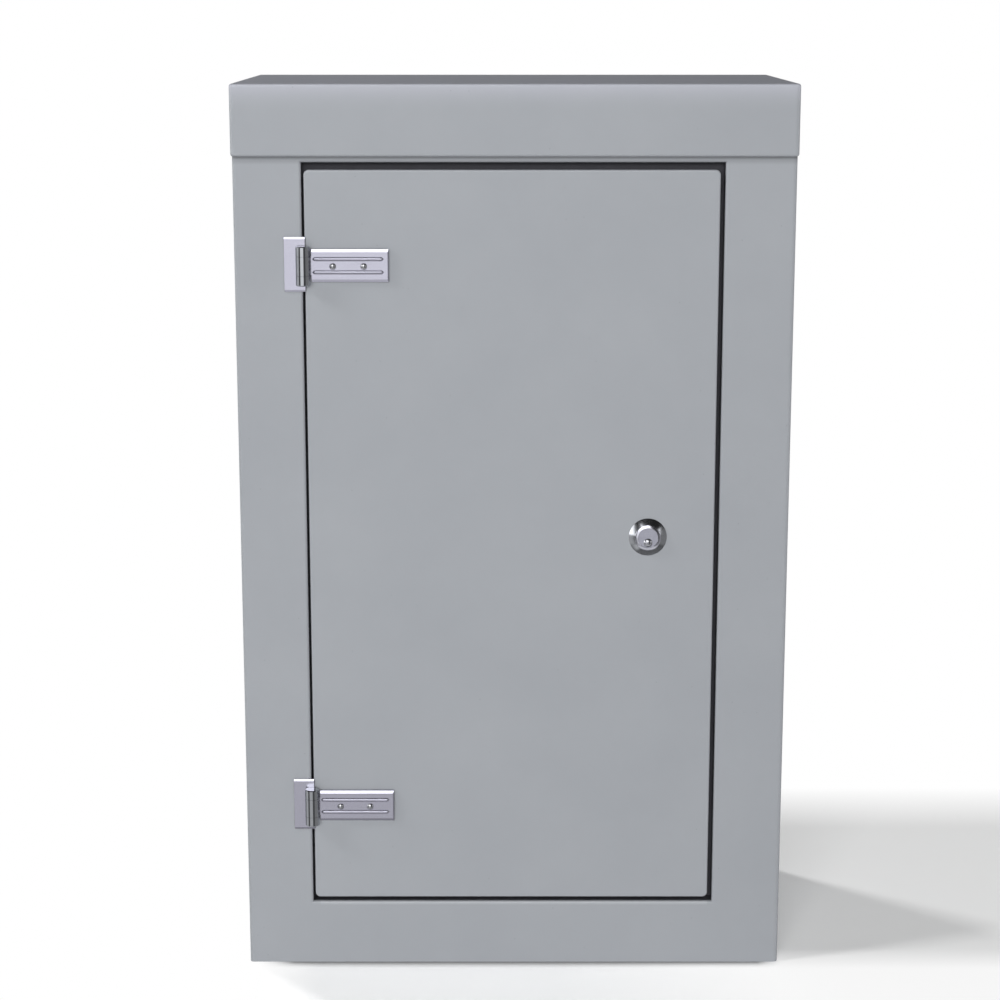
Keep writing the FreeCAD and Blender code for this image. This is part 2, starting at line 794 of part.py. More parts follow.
def make_lock_barrel():
    """Barrel through the door, and the nut that clamps it against the liner."""
    barrel = lock_rod("barrel_blank", "barrel_diameter / 2", BARREL_FRONT, BARREL_BACK)
    bore_radius = "spindle_diameter / 2 + pin_fit"
    bore = lock_rod("barrel_bore", bore_radius, f"{BARREL_FRONT} - plug_head", f"{BARREL_BACK} + plug_head")
    keep("lock_barrel", without("lock_barrel", barrel, [bore]))

    nut = hexagon("nut_blank", "nut_across", DOOR_BACK, "nut_wall")
    thread_radius = "barrel_diameter / 2 + pin_fit"
    bore_end = f"{DOOR_BACK} + 2 * nut_wall"
    nut_bore = lock_rod("nut_bore", thread_radius, f"{DOOR_BACK} - nut_wall", bore_end)
    keep("lock_nut", without("lock_nut", nut, [nut_bore]))


def make_lock_plug():
    """Turning plug: disc with a raised key boss, spindle and square end."""
    head = lock_rod("plug_head", "plug_diameter / 2", PLUG_FRONT, f"{PLUG_FRONT} + plug_head")
    spindle = lock_rod("plug_spindle", "spindle_diameter / 2", f"{PLUG_FRONT} + plug_head / 2", CAM_FRONT)
    square_back = f"{CAM_FRONT} + cam_wall"
    square = lock_square("plug_square", "square_across", f"{CAM_FRONT} - cam_wall", square_back)
    boss_z = f"{LOCK_Z} - boss_drop"
    boss_front = (LOCK_X, f"{PLUG_FRONT} - boss_height", boss_z)
    boss_back = (LOCK_X, PLUG_FRONT, boss_z)
    boss = tapered_rod("plug_boss", "boss_face / 2", "boss_diameter / 2", boss_front, boss_back, "y")
    plug = union("plug_blank", [head, spindle, square, boss])
    bore_front = (LOCK_X, f"{PLUG_FRONT} - 2 * boss_height", boss_z)
    bore_back = (LOCK_X, f"{PLUG_FRONT} + boss_height", boss_z)
    key_bore = rod("plug_key_bore", "boss_bore / 2", bore_front, bore_back, "y")
    keep("lock_plug", without("lock_plug", plug, [key_bore]))


def lock_square(name, across, front, back):
    """A square bar on the lock's axis, between two levels into the cabinet."""
    half = f"({across}) / 2"
    return box(
        name,
        (f"{LOCK_X} - {half}", front, f"{LOCK_Z} - {half}"),
        (f"{LOCK_X} + {half}", back, f"{LOCK_Z} + {half}"),
    )


def make_cam():
    """Cam that turns behind the stop, and the screw that holds it on the plug's square."""
    cam_back = f"({CAM_FRONT} + cam_wall)"
    hub = lock_rod("cam_hub", "cam_width / 2", CAM_FRONT, cam_back)
    arm = box(
        "cam_arm",
        (f"{LOCK_X} - cam_width / 2", CAM_FRONT, f"{LOCK_Z} - cam_length"),
        (f"{LOCK_X} + cam_width / 2", cam_back, LOCK_Z),
    )
    cam = union("cam_blank", [hub, arm])
    hole_across = "square_across + 2 * square_fit"
    hole_back = f"{cam_back} + cam_wall"
    square_hole = lock_square("cam_square", hole_across, f"{CAM_FRONT} - cam_wall", hole_back)
    keep("lock_cam", without("lock_cam", cam, [square_hole]))
    keep("cam_screw", hexagon("cam_screw", "screw_across", cam_back, "screw_height"))


def check_document():
    """Stops if any object failed to compute or any sub-part is not a valid solid."""
    doc.recompute()
    for item in doc.Objects:
        if "Invalid" in item.State or "Error" in item.State:
            raise RuntimeError(f"{item.Name} failed: {item.State}")
    for name, item in pieces.items():
        shape = item.Shape
        if shape.isNull() or not shape.isValid() or not shape.Solids:
            raise RuntimeError(f"{name} has no valid solid")


def write_steps():
    os.makedirs("parts", exist_ok=True)
    for name, item in pieces.items():
        item.Shape.exportStep(f"parts/{name}.step")
        print(f"{name}: {item.Shape.Volume / 1000:.1f} cm3, {len(item.Shape.Solids)} solid")


make_roof_cap()
make_side_panel("left_side_panel", -1)
make_side_panel("right_side_panel", 1)
make_back_panel()
make_front()
make_base_flanges()
make_door()
make_hinge("upper", UPPER_HINGE)
make_hinge("lower", LOWER_HINGE)
make_lock_ring()
make_lock_barrel()
make_lock_plug()
make_cam()
check_document()
write_steps()
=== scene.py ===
import math

import bmesh
import bpy
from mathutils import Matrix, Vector


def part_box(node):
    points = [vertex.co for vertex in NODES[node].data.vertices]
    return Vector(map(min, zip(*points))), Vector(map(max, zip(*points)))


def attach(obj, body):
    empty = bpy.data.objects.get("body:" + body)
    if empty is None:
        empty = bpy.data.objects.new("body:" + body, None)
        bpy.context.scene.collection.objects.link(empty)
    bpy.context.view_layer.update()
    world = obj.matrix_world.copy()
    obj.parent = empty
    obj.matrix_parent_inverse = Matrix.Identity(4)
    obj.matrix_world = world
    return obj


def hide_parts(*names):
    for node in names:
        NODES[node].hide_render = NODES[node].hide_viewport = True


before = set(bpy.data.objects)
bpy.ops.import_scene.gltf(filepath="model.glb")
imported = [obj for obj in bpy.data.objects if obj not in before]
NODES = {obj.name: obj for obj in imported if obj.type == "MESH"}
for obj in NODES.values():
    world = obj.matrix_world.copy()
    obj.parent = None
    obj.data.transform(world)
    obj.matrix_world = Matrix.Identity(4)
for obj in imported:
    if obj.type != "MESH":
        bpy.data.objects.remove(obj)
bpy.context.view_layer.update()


# Camera, at the photograph's viewing angle.

def make_camera():
    data = bpy.data.cameras.new("camera")
    data.lens = 84.2
    data.sensor_width = 36
    data.clip_start = 0.05
    data.clip_end = 60
    camera = bpy.data.objects.new("camera", data)
    camera.location = (-0.01695, -2.8631, 1.1523)
    camera.rotation_euler = (math.radians(78), 0, 0)
    bpy.context.scene.collection.objects.link(camera)
    bpy.context.scene.camera = camera


# Node helpers. A value that is a socket is linked, and any other value is set.

def node(tree, kind, inputs=None, **settings):
    made = tree.nodes.new(kind)
    for name, value in settings.items():
        setattr(made, name, value)
    for name, value in (inputs or {}).items():
        connect(tree, made.inputs[name], value)
    return made


def connect(tree, socket, value):
    if isinstance(value, bpy.types.NodeSocket):
        tree.links.new(value, socket)
    else:
        socket.default_value = value


def math_node(tree, operation, *values):
    return node(tree, "ShaderNodeMath", dict(enumerate(values)), operation=operation).outputs[0]


def remap(tree, value, low, high, to_low=0.0, to_high=1.0):
    inputs = {"Value": value, "From Min": low, "From Max": high, "To Min": to_low, "To Max": to_high}
    return node(tree, "ShaderNodeMapRange", inputs).outputs["Result"]


def blend_colours(tree, factor, first, second):
    made = node(tree, "ShaderNodeMix", data_type="RGBA")
    connect(tree, made.inputs[0], factor)
    connect(tree, made.inputs[6], first)
    connect(tree, made.inputs[7], second)
    return made.outputs[2]


def blend_values(tree, factor, first, second):
    made = node(tree, "ShaderNodeMix", data_type="FLOAT")
    connect(tree, made.inputs[0], factor)
    connect(tree, made.inputs[2], first)
    connect(tree, made.inputs[3], second)
    return made.outputs[0]


def place_coordinates(tree, scale=(1, 1, 1), rotation=(0, 0, 0)):
    """The place on the object in metres, turned and then stretched."""
    place = node(tree, "ShaderNodeTexCoord").outputs["Object"]
    angles = [math.radians(angle) for angle in rotation]
    turned = node(tree, "ShaderNodeMapping", {"Vector": place, "Rotation": angles}).outputs["Vector"]
    return node(tree, "ShaderNodeMapping", {"Vector": turned, "Scale": scale}).outputs["Vector"]


def noise(tree, place, scale, detail=2.0, roughness=0.5):
    inputs = {"Vector": place, "Scale": scale, "Detail": detail, "Roughness": roughness}
    return node(tree, "ShaderNodeTexNoise", inputs).outputs["Fac"]


def bump(tree, height, distance, strength=1.0, normal=None):
    inputs = {"Height": height, "Distance": distance, "Strength": strength}
    if normal is not None:
        inputs["Normal"] = normal
    return node(tree, "ShaderNodeBump", inputs).outputs["Normal"]


def edges(tree, radius):
    """0 on a flat face, and up to 1 along an edge or corner."""
    softened = node(tree, "ShaderNodeBevel", {"Radius": radius}, samples=4).outputs["Normal"]
    true_normal = node(tree, "ShaderNodeNewGeometry").outputs["Normal"]
    likeness = node(tree, "ShaderNodeVectorMath", {0: softened, 1: true_normal}, operation="DOT_PRODUCT")
    return remap(tree, likeness.outputs["Value"], 0.998, 0.9)


def crevices(tree, reach):
    """0 on an open face, and up to 1 in a narrow corner."""
    openness = node(tree, "ShaderNodeAmbientOcclusion", {"Distance": reach}, samples=6).outputs["AO"]
    return remap(tree, openness, 0.85, 0.35)


def new_material(name):
    material = bpy.data.materials.new(name)
    material.use_nodes = True
    tree = material.node_tree
    return material, tree, tree.nodes["Principled BSDF"]


# Materials.

def inside_mask(tree):
    """1 on the faces inside the body and behind the door skin, and 0 on the moulded outside."""
    place = node(tree, "ShaderNodeSeparateXYZ", {"Vector": place_coordinates(tree)})
    across = math_node(tree, "LESS_THAN", math_node(tree, "ABSOLUTE", place.outputs["X"]), 0.3187)
    along = math_node(tree, "LESS_THAN", math_node(tree, "ABSOLUTE", place.outputs["Y"]), 0.1653)
    below = math_node(tree, "LESS_THAN", place.outputs["Z"], 1.0573)
    return math_node(tree, "MULTIPLY", math_node(tree, "MULTIPLY", across, along), below)


def strands(tree):
    """Chopped glass strands under the inside topcoat, lying in three directions."""
    total = None
    for rotation in ((12, 18, 20), (25, 78, 15), (-20, -42, -25)):
        place = place_coordinates(tree, (30, 420, 420), rotation)
        layer = remap(tree, noise(tree, place, 1.0, 2.0), 0.5, 0.68)
        total = layer if total is None else math_node(tree, "MAXIMUM", total, layer)
    return total


def gelcoat(name, with_edge_highlights):
    """Grey glass-fibre moulding: a smooth semi-gloss gelcoat outside, and a matt strand face inside."""
    material, tree, shader = new_material(name)
    place = place_coordinates(tree)
    clouds = remap(tree, noise(tree, place, 7.0, 4.0, 0.6), 0.3, 0.7)
    grey = blend_colours(tree, clouds, (0.366, 0.383, 0.410, 1), (0.386, 0.403, 0.429, 1))
    height = node(tree, "ShaderNodeSeparateXYZ", {"Vector": place}).outputs["Z"]
    # Painted highlight: the grey turns lighter towards the roof's top, standing for light falling from above
    # on the skirt's upper part and on the top face.
    top_light_ramp = math_node(tree, "POWER", remap(tree, height, 1.03, 1.0626), 2.2)
    painted_top_highlight = math_node(tree, "MULTIPLY", top_light_ramp, 0.68)
    grey = blend_colours(tree, painted_top_highlight, grey, (0.56, 0.57, 0.64, 1))
    grey = blend_colours(tree, pinholes(tree, place), grey, (0.16, 0.17, 0.19, 1))
    if with_edge_highlights:
        # Painted highlight: patchy lighter grey along the rounded edges of the roof cap and door skin, for
        # the light their roundings catch.
        highlight_patches = remap(tree, noise(tree, place, 60.0, 3.0), 0.35, 0.7, 0.3, 0.8)
        lighter_edges = math_node(tree, "MULTIPLY", edges(tree, 0.0025), highlight_patches)
        grey = blend_colours(tree, lighter_edges, grey, (0.54, 0.55, 0.60, 1))
    else:
        painted_lip_shade, painted_sill_highlight = body_bands(tree, place)
        # Painted highlight: a lighter band along the sill's upper edge.
        grey = blend_colours(tree, painted_sill_highlight, grey, (0.58, 0.59, 0.62, 1))
        # Painted shade: a dark band on the walls just under the roof's lip.
        grey = blend_colours(tree, painted_lip_shade, grey, (0.02, 0.02, 0.022, 1))
    # Painted shade: darker grey in narrow corners and gaps, kept off the bottom edge.
    off_floor = math_node(tree, "GREATER_THAN", height, 0.012)
    crevice_shade = math_node(tree, "MULTIPLY", crevices(tree, 0.003), math_node(tree, "MULTIPLY", off_floor, 0.5))
    grey = blend_colours(tree, crevice_shade, grey, (0.06, 0.06, 0.065, 1))
    inside = inside_mask(tree)
    fibres = strands(tree)
    topcoat = blend_colours(tree, fibres, (0.36, 0.37, 0.38, 1), (0.44, 0.45, 0.46, 1))
    connect(tree, shader.inputs["Base Color"], blend_colours(tree, inside, grey, topcoat))

    gloss = remap(tree, noise(tree, place, 35.0, 3.0), 0.3, 0.7, 0.29, 0.35)
    matt = remap(tree, fibres, 0.0, 1.0, 0.72, 0.58)
    connect(tree, shader.inputs["Roughness"], blend_values(tree, inside, gloss, matt))

    outside = math_node(tree, "SUBTRACT", 1.0, inside)
    outside_peel = math_node(tree, "MULTIPLY", noise(tree, place, 330.0, 1.0), outside)
    inside_relief = math_node(tree, "MULTIPLY", fibres, inside)
    waves = bump(tree, noise(tree, place, 16.0, 1.0), 0.0006, 0.5)
    peel = bump(tree, outside_peel, 0.0001, 0.5, waves)
    connect(tree, shader.inputs["Normal"], bump(tree, inside_relief, 0.0004, 0.8, peel))
    shader.inputs["IOR"].default_value = 1.5
    return material


def body_bands(tree, place):
    """Painted shade on the walls close under the roof's lip, and a painted highlight along the upper edge of
    the sill.
    """
    parts = node(tree, "ShaderNodeSeparateXYZ", {"Vector": place}).outputs
    # Painted shade under the roof's lip: a soft haze and a darker line just below it.
    lip_shade_haze = remap(tree, parts["Z"], 0.9715, 0.9755, 0.0, 0.2)
    lip_shade_line = remap(tree, parts["Z"], 0.9768, 0.9795, 0.0, 0.4)
    lip_shade = math_node(tree, "ADD", lip_shade_haze, lip_shade_line)
    # Painted highlight along the sill's upper edge, on the front between the jambs.
    sill_highlight = remap(tree, parts["Z"], 0.0735, 0.0785, 0.0, 0.4)
    front = math_node(tree, "LESS_THAN", parts["Y"], -0.168)
    within = math_node(tree, "LESS_THAN", math_node(tree, "ABSOLUTE", parts["X"]), 0.236)
    below = math_node(tree, "LESS_THAN", parts["Z"], 0.0792)
    for limit in (front, within, below):
        sill_highlight = math_node(tree, "MULTIPLY", sill_highlight, limit)
    return lip_shade, sill_highlight


def pinholes(tree, place):
    """A few tiny dark pits scattered over the moulding."""
    cells = node(tree, "ShaderNodeTexVoronoi", {"Vector": place, "Scale": 55.0, "Randomness": 1.0})
    return remap(tree, cells.outputs["Distance"], 0.040, 0.020, 0.0, 0.5)


def satin_steel(pins):
    """Stainless hinge steel: plates with a fine lengthwise grain, matt ribs and a smoother rolled barrel."""
    material, tree, shader = new_material("satin_stainless")
    place = place_coordinates(tree)
    barrel = barrel_mask(tree, place, pins)
    rib = rib_mask(tree, place)
    drift = remap(tree, noise(tree, place, 30.0, 2.0), 0.3, 0.7)
    plate = blend_colours(tree, drift, (0.52, 0.51, 0.59, 1), (0.54, 0.53, 0.61, 1))
    rolled = blend_colours(tree, drift, (0.44, 0.45, 0.47, 1), (0.48, 0.49, 0.51, 1))
    tone = blend_colours(tree, barrel, plate, rolled)
    # Painted highlight: lighter steel along the edges and rib crowns.
    metal_edge_highlight = math_node(tree, "MULTIPLY", edges(tree, 0.0004), 0.3)
    tone = blend_colours(tree, metal_edge_highlight, tone, (0.8, 0.8, 0.86, 1))
    # Painted shade in the narrow corners round the hinge parts.
    crevice_shade = math_node(tree, "MULTIPLY", crevices(tree, 0.0012), 0.7)
    connect(tree, shader.inputs["Base Color"], blend_colours(tree, crevice_shade, tone, (0.08, 0.08, 0.09, 1)))
    shader.inputs["Metallic"].default_value = 1.0
    grain = noise(tree, place_coordinates(tree, (25, 1800, 1800)), 1.0, 2.0)
    brushed = remap(tree, grain, 0.3, 0.7, 0.2, 0.26)
    smooth = remap(tree, grain, 0.3, 0.7, 0.09, 0.13)
    matt = remap(tree, grain, 0.3, 0.7, 0.4, 0.48)
    rolled_gloss = blend_values(tree, barrel, brushed, smooth)
    connect(tree, shader.inputs["Roughness"], blend_values(tree, rib, rolled_gloss, matt))
    connect(tree, shader.inputs["Normal"], bump(tree, grain, 0.000004, 0.3))
    return material


def barrel_mask(tree, place, pins):
    """1 on the hinges' round barrels: near the pin's upright axis and before the leaf's face."""
    parts = node(tree, "ShaderNodeSeparateXYZ", {"Vector": place}).outputs
    across = math_node(tree, "SUBTRACT", parts["X"], pins.x)
    along = math_node(tree, "SUBTRACT", parts["Y"], pins.y)
    flat = node(tree, "ShaderNodeCombineXYZ", {"X": across, "Y": along}).outputs["Vector"]
    reach = node(tree, "ShaderNodeVectorMath", {0: flat}, operation="LENGTH").outputs["Value"]
    close = math_node(tree, "LESS_THAN", reach, BARREL_REACH)
    proud = math_node(tree, "LESS_THAN", parts["Y"], LEAF_FACE - 0.0004)
    return math_node(tree, "MULTIPLY", close, proud)


def rib_mask(tree, place):
    """1 on the straps' pressed ribs, which stand before the plates' face and right of the barrels."""
    parts = node(tree, "ShaderNodeSeparateXYZ", {"Vector": place}).outputs
    proud = math_node(tree, "LESS_THAN", parts["Y"], STRAP_FACE - 0.0001)
    barrel_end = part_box("upper_hinge_strap")[0].x + 2 * BARREL_REACH + 0.0004
    beside = math_node(tree, "GREATER_THAN", parts["X"], barrel_end)
    return math_node(tree, "MULTIPLY", proud, beside)


def lock_chrome(name, dark, light, smooth=0.12, dull=0.2):
    """Polished plating with faint scratches from wiping."""
    material, tree, shader = new_material(name)
    place = place_coordinates(tree)
    smears = noise(tree, place, 160.0, 4.0, 0.65)
    tone = blend_colours(tree, remap(tree, smears, 0.3, 0.7), dark, light)
    # Painted highlight: lighter plating along the edges.
    metal_edge_highlight = math_node(tree, "MULTIPLY", edges(tree, 0.0003), 0.25)
    tone = blend_colours(tree, metal_edge_highlight, tone, (0.85, 0.85, 0.88, 1))
    # Painted shade in the narrow corners of the lock parts.
    crevice_shade = math_node(tree, "MULTIPLY", crevices(tree, 0.0009), 0.7)
    connect(tree, shader.inputs["Base Color"], blend_colours(tree, crevice_shade, tone, (0.06, 0.06, 0.07, 1)))
    shader.inputs["Metallic"].default_value = 1.0
    connect(tree, shader.inputs["Roughness"], remap(tree, smears, 0.3, 0.7, smooth, dull))
    scratches = noise(tree, place_coordinates(tree, (900, 900, 120), (0, 25, 0)), 1.0, 2.0)
    connect(tree, shader.inputs["Normal"], bump(tree, scratches, 0.0000015, 0.2))
    return material


def zinc_plate():
    """Zinc-plated steel: cold grey with a slight yellow and blue drift."""
    material, tree, shader = new_material("zinc_plate")
    place = place_coordinates(tree)
    drift = noise(tree, place, 70.0, 4.0, 0.6)
    tone = blend_colours(tree, remap(tree, drift, 0.3, 0.7), (0.50, 0.50, 0.47, 1), (0.55, 0.58, 0.63, 1))
    lighter_edges = math_node(tree, "MULTIPLY", edges(tree, 0.0006), 0.5)
    connect(tree, shader.inputs["Base Color"], blend_colours(tree, lighter_edges, tone, (0.7, 0.7, 0.7, 1)))
    shader.inputs["Metallic"].default_value = 1.0
    connect(tree, shader.inputs["Roughness"], remap(tree, drift, 0.3, 0.7, 0.32, 0.48))
    connect(tree, shader.inputs["Normal"], bump(tree, noise(tree, place, 600.0, 2.0), 0.00003, 0.4))
    return material


def seal_rubber():
    """Black moulded seal, matt, with a grey bloom of dust."""
    material, tree, shader = new_material("seal_rubber")
    place = place_coordinates(tree)
    bloom = noise(tree, place, 45.0, 5.0, 0.65)
    dusty = remap(tree, bloom, 0.35, 0.75)
    tone = blend_colours(tree, dusty, (0.046, 0.046, 0.053, 1), (0.066, 0.066, 0.075, 1))
    connect(tree, shader.inputs["Base Color"], tone)
    connect(tree, shader.inputs["Roughness"], remap(tree, bloom, 0.3, 0.7, 0.55, 0.75))
    connect(tree, shader.inputs["Normal"], bump(tree, noise(tree, place, 800.0, 2.0), 0.00005, 0.5))
    return material


# Small pieces that the CAD model leaves out, and a smooth lock ring.

def lathe(name, profile, place, axis, material, body="door", segments=48):
    """A turned piece: profile is (radius, height) pairs along the axis from the place, in metres."""
    mesh = bmesh.new()
    turn = Vector(axis).to_track_quat("Z", "Y")
    rings = []
    for radius, height in profile:
        if radius == 0:
            rings.append([mesh.verts.new((0, 0, height))])
            continue
        rings.append([mesh.verts.new((radius * math.cos(step * math.tau / segments),
                                      radius * math.sin(step * math.tau / segments), height))
                      for step in range(segments)])
    for lower, upper in zip(rings, rings[1:]):
        for step in range(segments):
            corners = [lower[step % len(lower)], lower[(step + 1) % len(lower)],
                       upper[(step + 1) % len(upper)], upper[step % len(upper)]]
            mesh.faces.new(list(dict.fromkeys(corners)))
    bmesh.ops.rotate(mesh, verts=mesh.verts, matrix=turn.to_matrix())
    return finish_piece(name, mesh, place, material, body)


def finish_piece(name, mesh, place, material, body):
    bmesh.ops.remove_doubles(mesh, verts=mesh.verts, dist=0.000001)
    bmesh.ops.recalc_face_normals(mesh, faces=mesh.faces)
    for face in mesh.faces:
        face.smooth = True
    data = bpy.data.meshes.new(name)
    mesh.to_mesh(data)
    mesh.free()
    data.set_sharp_from_angle(angle=math.radians(32))
    piece = bpy.data.objects.new(name, data)
    piece.location = place
    bpy.context.scene.collection.objects.link(piece)
    data.materials.append(material)
    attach(piece, body)
    return piece


def middle(name):
    """The middle of a node's box."""
    low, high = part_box(name)
    return (low + high) / 2


def dome(radius, rise, rim):
    """Profile of a round head with a short straight rim and a rounded top."""
    ball = (radius * radius + rise * rise) / (2 * rise)
    steps = 9
    curve = []
    for step in range(steps):
        out = radius * (1 - step / steps)
        curve.append((out, rim + rise - ball + math.sqrt(ball * ball - out * out)))
    return [(0.0, 0.0), (radius, 0.0)] + curve + [(0.0, rim + rise)]


def make_rivets(steel, zinc):
    """Two round rivet heads on each strap, and their washers and closed ends inside the door."""
    liner_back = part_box("door_liner")[1].y
    washer = [(0.0, 0.0), (0.0065, 0.0), (0.0065, 0.0008), (0.0, 0.0008)]
    for level in ("upper", "lower"):
        strap = middle(level + "_hinge_strap")
        for index, across in enumerate(RIVETS, 1):
            name = f"{level}_rivet_{index}"
            place = (across, STRAP_FACE, strap.z - RIVET_DROP)
            lathe(name, dome(0.0038, 0.0018, 0.0003), place, (0, -1, 0), steel)
            back = (across, liner_back, place[2])
            lathe(name + "_washer", washer, back, (0, 1, 0), zinc, segments=28)
            end = (across, liner_back + 0.0008, place[2])
            lathe(name + "_end", dome(0.0034, 0.0016, 0.0004), end, (0, 1, 0), zinc, segments=28)


def make_leaf_nuts(zinc):
    """Two plain nuts on washers behind each leaf, inside the stile."""
    washer = [(0.0, 0.0), (0.0058, 0.0), (0.0058, 0.0008), (0.0, 0.0008)]
    nut = [(0.0, 0.0), (0.0050, 0.0), (0.0050, 0.0032), (0.0, 0.0032)]
    stud = [(0.0, 0.0), (0.0025, 0.0), (0.0025, 0.0052), (0.0021, 0.0056), (0.0, 0.0056)]
    wall_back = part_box("left_stile")[0].y + WALL
    for level in ("upper", "lower"):
        leaf = middle(level + "_hinge_leaf")
        for index, side in enumerate((-1, 1), 1):
            name = f"{level}_leaf_{index}"
            place = (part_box(level + "_hinge_leaf")[0].x + 0.0055, wall_back, leaf.z + side * 0.020)
            lathe(name + "_washer", washer, place, (0, 1, 0), zinc, "cabinet", 28)
            lathe(name + "_nut", nut, place, (0, 1, 0), zinc, "cabinet", 6)
            lathe(name + "_stud", stud, place, (0, 1, 0), zinc, "cabinet", 20)


def make_lock_ring(chrome, bright):
    """The ring round the plug, a polished dome with a lip in a brighter copy of the chrome for a painted
    highlight, in place of the CAD model's cones.
    """
    rim, low, high = 0.0224, 0.0003, 0.0052
    foot = 0.0156
    profile = [(0.0132, 0.0), (rim, 0.0), (rim, low)]
    steps = 16
    for step in range(1, steps + 1):
        share = step / steps
        rise = 1.1 * share - 0.1 * share * share
        profile.append((rim + (foot - rim) * share, low + (high - low) * rise))
    profile += [(foot, high - 0.0006), (0.0132, high - 0.0006), (0.0132, 0.0)]
    centre = middle("lock_escutcheon")
    place = (centre.x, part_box("lock_escutcheon")[1].y, centre.z)
    ring = lathe("lock_ring", profile, place, (0, -1, 0), chrome, segments=96)
    lip = [(0.0132, 0.0044), (0.0155, 0.0044), (0.0155, 0.0051), (0.0153, 0.0053), (0.0148, 0.00555)]
    lip += [(0.0142, 0.00581), (0.0136, 0.00604), (0.0130, 0.00625), (0.0124, 0.00644), (0.0121, 0.00652)]
    lip += [(0.0119, 0.00653), (0.01178, 0.00645), (0.01175, 0.00615), (0.0132, 0.00615), (0.0132, 0.0044)]
    bead = lathe("lock_lip", lip, place, (0, -1, 0), bright, segments=96)
    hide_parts("lock_escutcheon")
    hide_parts("lock_escutcheon")


def make_key_boss(chrome):
    """Domed cap over the key boss, with the key hole through it."""
    radius, rise, hole = 0.0051, 0.0020, 0.0008
    profile = [point for point in dome(radius, rise, 0.0002)[2:-1] if point[0] > hole + 0.0004]
    top = profile[-1][1] + 0.0001
    profile = [(radius, 0.0)] + profile + [(hole + 0.0002, top), (hole, top - 0.0002), (hole, 0.0011)]
    low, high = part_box("lock_plug")
    place = ((low.x + high.x) / 2, low.y + BOSS_HEIGHT, low.z + BOSS_RISE)
    lathe("key_boss", profile, place, (0, -1, 0), chrome, "lock", 64)


def make_barrel_thread(zinc):
    """Screw thread round the end of the lock's barrel, behind its nut."""
    outer, root, pitch = 0.01232, 0.01195, 0.001
    nut_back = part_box("lock_nut")[1].y
    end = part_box("lock_barrel")[1].y
    profile = [(root, 0.0)]
    turns = int((end - nut_back) / pitch)
    for turn in range(turns):
        profile += [(outer, (turn + 0.5) * pitch), (root, (turn + 1) * pitch)]
    centre = middle("lock_barrel")
    lathe("barrel_thread", profile, (centre.x, nut_back, centre.z), (0, 1, 0), zinc, segments=48)


# Studio: floor, lamps and surroundings.

def make_floor():
    """A pale floor that keeps the shadow near the object and turns plain white further off.

    Reflections pass through it to the room, which has a floor of its own.
    """
    material, tree, shader = new_material("studio_floor")
    place = place_coordinates(tree)
    path = node(tree, "ShaderNodeLightPath").outputs
    shader.inputs["Roughness"].default_value = 0.9
    shader.inputs["Specular IOR Level"].default_value = 0.05
    grain = noise(tree, place, 30.0, 3.0)
    pale = blend_colours(tree, grain, (0.79, 0.79, 0.795, 1), (0.81, 0.81, 0.815, 1))
    seen = blend_colours(tree, grain, (1.40, 1.40, 1.39, 1), (1.42, 1.42, 1.41, 1))
    contact = contact_shade(tree, place)
    seen = blend_colours(tree, contact, seen, (0.2, 0.2, 0.2, 1))
    connect(tree, shader.inputs["Base Color"], blend_colours(tree, path["Is Camera Ray"], pale, seen))
    plain = node(tree, "ShaderNodeEmission", {"Strength": 1.0}).outputs[0]
    distance = node(tree, "ShaderNodeVectorMath", {0: place}, operation="LENGTH").outputs["Value"]
    parts = node(tree, "ShaderNodeSeparateXYZ", {"Vector": place}).outputs
    far = math_node(tree, "MAXIMUM", remap(tree, distance, 0.85, 1.3), remap(tree, parts["Y"], 0.31, 0.48))
    far = math_node(tree, "MAXIMUM", far, remap(tree, parts["X"], -0.235, -0.31))
    right_front = remap(tree, parts["X"], 0.05, 0.32, 0.0, 0.75)
    right_front = math_node(tree, "MULTIPLY", right_front, remap(tree, parts["Y"], -0.13, -0.19))
    far = math_node(tree, "MAXIMUM", far, right_front)
    far = math_node(tree, "MULTIPLY", far, math_node(tree, "SUBTRACT", 1.0, contact))
    far = math_node(tree, "MULTIPLY", far, path["Is Camera Ray"])
    surface = node(tree, "ShaderNodeMixShader", {0: far, 1: shader.outputs[0], 2: plain}).outputs[0]
    through = node(tree, "ShaderNodeBsdfTransparent").outputs[0]
    glossy = math_node(tree, "MAXIMUM", path["Is Glossy Ray"], path["Is Transmission Ray"])
    shown = node(tree, "ShaderNodeMixShader", {0: glossy, 1: surface, 2: through}).outputs[0]
    connect(tree, tree.nodes["Material Output"].inputs["Surface"], shown)
    bpy.ops.mesh.primitive_grid_add(x_subdivisions=8, y_subdivisions=8, size=8, location=(0, 0, 0))
    floor = bpy.context.object
    floor.name = "floor"
    floor.data.materials.append(material)


def contact_shade(tree, place):
    """1 on the floor right before the front wall, fading out within a few centimetres and at both ends."""
    low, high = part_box("front_sill")
    parts = node(tree, "ShaderNodeSeparateXYZ", {"Vector": place}).outputs
    ahead = math_node(tree, "SUBTRACT", low.y, parts["Y"])
    near = remap(tree, ahead, 0.0, 0.018, 1.0, 0.0)
    before = math_node(tree, "GREATER_THAN", ahead, -0.002)
    start = remap(tree, parts["X"], low.x + 0.004, low.x + 0.05)
    end = remap(tree, parts["X"], high.x - 0.02, high.x + 0.01, 1.0, 0.0)
    across = math_node(tree, "MULTIPLY", start, end)
    return math_node(tree, "MULTIPLY", math_node(tree, "MULTIPLY", near, before), across)


